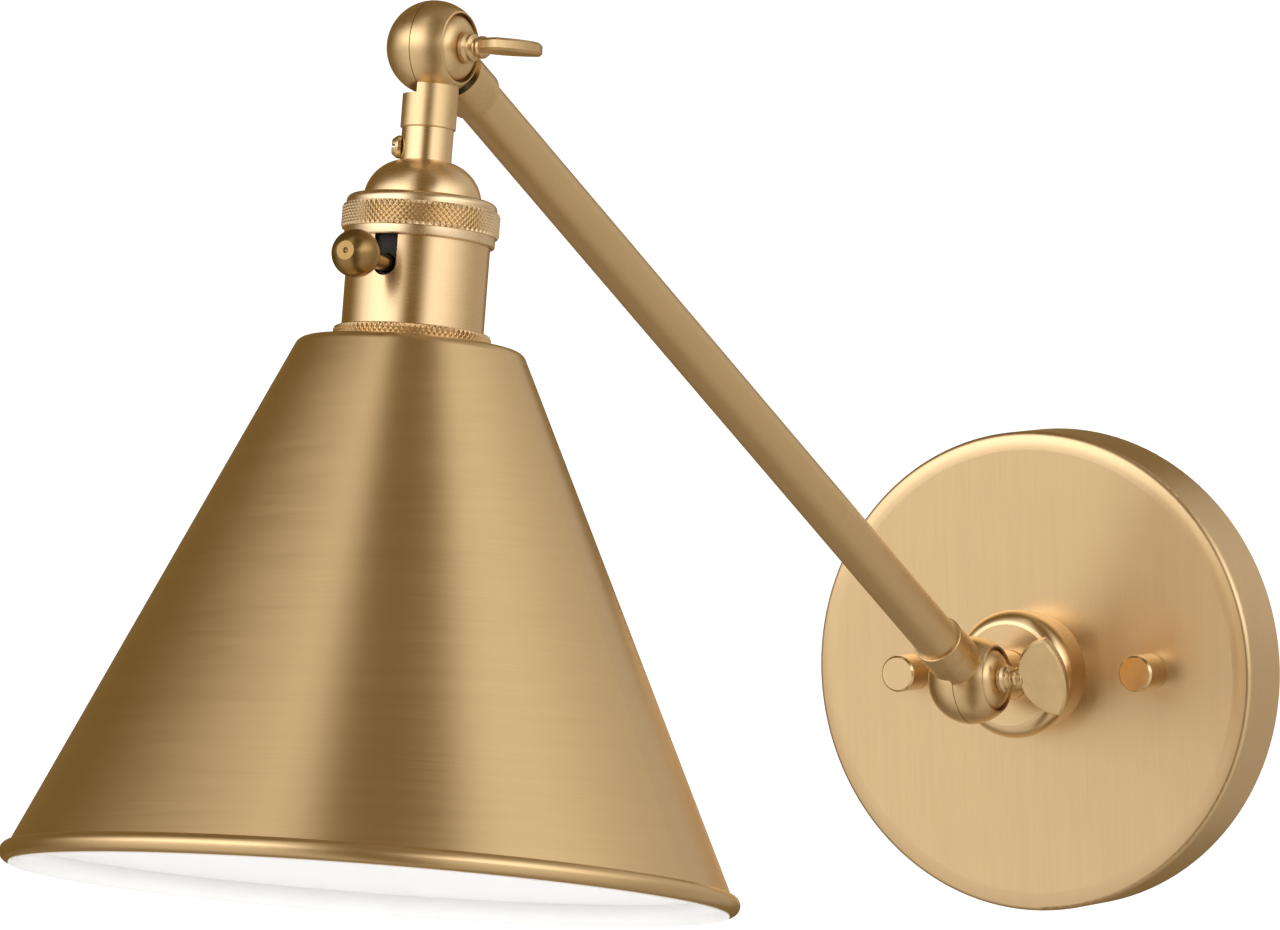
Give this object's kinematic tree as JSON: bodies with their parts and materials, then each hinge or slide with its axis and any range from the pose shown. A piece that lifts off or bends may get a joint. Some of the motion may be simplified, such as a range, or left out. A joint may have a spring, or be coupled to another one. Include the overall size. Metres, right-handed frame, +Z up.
{
  "type": "picture light",
  "caption": "Wall-mounted swing-arm picture light: round backplate, tube arm between two ball knuckles with wing screws, keyed socket and a cone shade.",
  "frame": {"origin": "centre of the backplate's rear edge, on the wall plane, midway between the two box screw slots", "axes": "+Y into the wall, +Z up, +X to the right for someone facing the wall"},
  "size_m": [0.1775, 0.4395, 0.2445],
  "materials": {
    "brushed_brass": "fine circumferential brushing, satin lacquer",
    "brushed_brass_plate": "spun and brushed, satin lacquer",
    "cast_brass": "tumbled satin, lacquered",
    "knurled_brass": "diamond knurl, lightly polished",
    "white_enamel": "satin white enamel",
    "zinc_steel": "zinc plated",
    "green_steel": "green dyed zinc",
    "phenolic": "moulded phenolic, semi-matt",
    "fibre_paper": "vulcanised fibre paper",
    "raw_brass": "rolled brass sheet",
    "black_lead": "PVC insulation",
    "white_lead": "PVC insulation",
    "green_lead": "PVC insulation"
  },
  "bodies": {
    "base": {"backplate": "brushed_brass_plate", "box_bar": "zinc_steel", "fixture_bar": "zinc_steel", "fixture_studs": "zinc_steel", "stud_nuts": "zinc_steel", "cap_nuts": "brushed_brass", "ground_screw": "green_steel", "hub": "brushed_brass", "hub_washer": "zinc_steel", "hub_nut": "zinc_steel", "supply_lead_black": "black_lead", "supply_lead_white": "white_lead", "ground_lead": "green_lead"},
    "swivel": {"lower_inner_half": "cast_brass", "spindle_washer": "zinc_steel", "spindle_nut": "zinc_steel", "lower_seam_washer": "fibre_paper", "swivel_lead_black": "black_lead", "swivel_lead_white": "white_lead"},
    "arm": {"lower_outer_half": "cast_brass", "lower_cup_washer": "cast_brass", "arm_tube": "brushed_brass", "upper_inner_half": "cast_brass", "upper_seam_washer": "fibre_paper", "arm_lead_black": "black_lead", "arm_lead_white": "white_lead"},
    "lower_wing": {"lower_wing_screw": "cast_brass"},
    "upper_wing": {"upper_wing_screw": "cast_brass"},
    "head": {"upper_outer_half": "cast_brass", "upper_cup_washer": "cast_brass", "neck_tube": "brushed_brass", "neck_set_screw": "cast_brass", "socket_cap": "cast_brass", "cap_ring": "knurled_brass", "socket_shell": "brushed_brass", "shell_liner": "fibre_paper", "socket_core": "phenolic", "screw_shell": "raw_brass", "centre_contact": "raw_brass", "terminal_screws": "raw_brass", "shade_ring": "knurled_brass", "shade_nut": "raw_brass", "shade": "brushed_brass", "shade_lining": "white_enamel", "head_lead_black": "black_lead", "head_lead_white": "white_lead"},
    "key": {"key_stem": "brushed_brass", "key_knob": "cast_brass", "switch_rotor": "phenolic"}
  },
  "joints": [
    {"name": "swivel_turn", "type": "hinge", "parent": "base", "child": "swivel", "pos_m": [0, -0.03, 0], "axis": [0, -1, 0], "range_deg": [-90, 90]},
    {"name": "arm_tilt", "type": "hinge", "parent": "swivel", "child": "arm", "pos_m": [0, -0.05395, 0], "axis": [-0.9991, 0, -0.0429], "range_deg": [-77.9, 57.1]},
    {"name": "head_tilt", "type": "hinge", "parent": "arm", "child": "head", "pos_m": [-0.00728, -0.3165, 0.1695], "axis": [-0.9991, 0.0385, 0.0166], "range_deg": [-6, 110]},
    {"name": "lower_wing_turn", "type": "hinge", "parent": "swivel", "child": "lower_wing", "pos_m": [0, -0.05395, 0], "axis": [0.9991, 0, 0.0429], "continuous": true},
    {"name": "upper_wing_turn", "type": "hinge", "parent": "arm", "child": "upper_wing", "pos_m": [-0.00728, -0.3165, 0.1695], "axis": [0.9991, -0.0385, -0.0166], "continuous": true},
    {"name": "switch_key_turn", "type": "hinge", "parent": "head", "child": "key", "pos_m": [-0.00855, -0.32618, 0.11578], "axis": [0.0349, -0.9837, 0.1764], "continuous": true}
  ]
}
